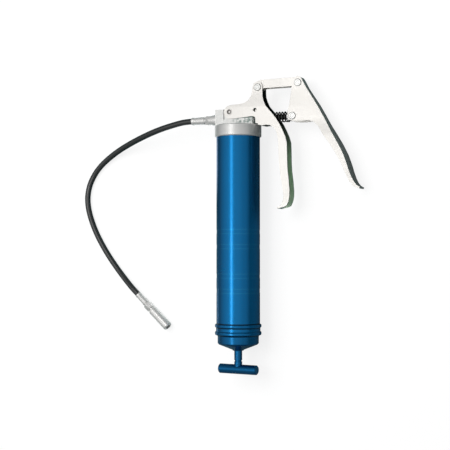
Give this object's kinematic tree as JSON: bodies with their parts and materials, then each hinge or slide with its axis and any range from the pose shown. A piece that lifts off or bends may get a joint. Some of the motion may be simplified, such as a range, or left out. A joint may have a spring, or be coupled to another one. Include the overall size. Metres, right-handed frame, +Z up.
{
  "type": "grease gun",
  "caption": "Pistol-grip hand grease gun with a squeeze lever, screw-on grease barrel, spring-loaded follower with T-handle rod, and a flexible hose ending in a coupler",
  "frame": {"origin": "On the surface the gun lies on, under the middle of the gun's box, which leaves out the hose and the coupler on it", "axes": "+Y along the barrel toward the head, +X from the barrel toward the grip and lever, +Z up, square to the surface the gun lies on"},
  "size_m": [0.4342, 0.3843, 0.061],
  "materials": {
    "blue_enamel": "gloss blue enamel",
    "cast_aluminium": "die-cast, lightly machined collar",
    "nickel_plate": "bright plated pressed steel",
    "pin_steel": "plated steel",
    "ground_steel": "ground or plain steel",
    "black_spring": "blackened spring steel",
    "brass": "turned brass",
    "bright_fitting": "bright plated fittings",
    "black_rubber": "nitrile rubber",
    "black_plastic": "moulded plastic",
    "hose_rubber": "smooth glossy hose cover"
  },
  "bodies": {
    "gun": {"head_casting": "cast_aluminium", "grip_frame": "nickel_plate", "frame_rivets": "pin_steel", "link_pin_front": "pin_steel", "return_spring": "black_spring", "gland_nut": "brass", "plunger_packing": "black_rubber", "check_spring": "ground_steel", "outlet_adapter": "bright_fitting", "gun_end_ferrule": "bright_fitting", "hose": "hose_rubber", "coupler_end_ferrule": "bright_fitting", "coupler_stem": "bright_fitting", "coupler_body": "bright_fitting", "coupler_sleeve": "bright_fitting", "coupler_jaws": "ground_steel", "coupler_seal": "black_rubber", "coupler_spring": "ground_steel"},
    "gasket": {"barrel_gasket": "black_rubber"},
    "barrel": {"barrel": "blue_enamel", "end_cap": "blue_enamel", "cap_bush": "black_plastic", "follower_spring": "black_spring"},
    "follower": {"follower_cup": "black_rubber", "follower_plates": "ground_steel"},
    "rod": {"follower_rod": "blue_enamel", "rod_nut": "ground_steel", "t_handle": "blue_enamel"},
    "plunger": {"plunger": "ground_steel", "plunger_eye": "ground_steel", "spring_seat": "ground_steel"},
    "lever": {"lever": "nickel_plate", "link_pin_rear": "pin_steel", "plunger_pin": "pin_steel"},
    "link": {"link_bar": "nickel_plate"},
    "ball": {"check_ball": "ground_steel"}
  },
  "joints": [
    {"name": "barrel_unscrew", "type": "hinge", "parent": "gun", "child": "gasket", "pos_m": [-0.0505, 0.1176, 0.0305], "axis": [0, -1, 0], "range_deg": [0, 1620]},
    {"name": "barrel_advance", "type": "slide", "parent": "gasket", "child": "barrel", "axis": [0, -1, 0], "range_m": [0, 0.009]},
    {"name": "follower_slide", "type": "slide", "parent": "barrel", "child": "follower", "axis": [0, -1, 0], "range_m": [0, 0.18], "stiffness_N_per_m": 150, "springref_m": -0.15, "deforming": ["follower_spring"]},
    {"name": "rod_turn", "type": "hinge", "parent": "follower", "child": "rod", "pos_m": [-0.0505, 0.1176, 0.0305], "axis": [0, 1, 0], "continuous": true},
    {"name": "plunger_stroke", "type": "slide", "parent": "gun", "child": "plunger", "axis": [-0.9935, 0, 0.1141], "range_m": [0, 0.0155], "stiffness_N_per_m": 1200, "springref_m": -0.008, "deforming": ["return_spring"]},
    {"name": "lever_squeeze", "type": "hinge", "parent": "plunger", "child": "lever", "pos_m": [0.02699, 0.1414, 0.0216], "axis": [-0.1141, 0, -0.9935], "range_deg": [0, 22.2]},
    {"name": "link_swing", "type": "hinge", "parent": "lever", "child": "link", "pos_m": [0.03395, 0.1837, 0.0208], "axis": [0.1141, 0, 0.9935], "range_deg": [0, 16.8]},
    {"name": "check_ball_lift", "type": "slide", "parent": "gun", "child": "ball", "axis": [-0.9935, 0, 0.1141], "range_m": [0, 0.0012], "stiffness_N_per_m": 300, "springref_m": -0.002, "deforming": ["check_spring"]}
  ],
  "couplings": [
    {"joint": "barrel_advance", "follows": "barrel_unscrew", "m_per_rad": 0.00031831},
    {"joint": "lever_squeeze", "follows": "plunger_stroke", "rad_per_m": 24.78},
    {"joint": "link_swing", "follows": "plunger_stroke", "rad_per_m": 18.68}
  ]
}
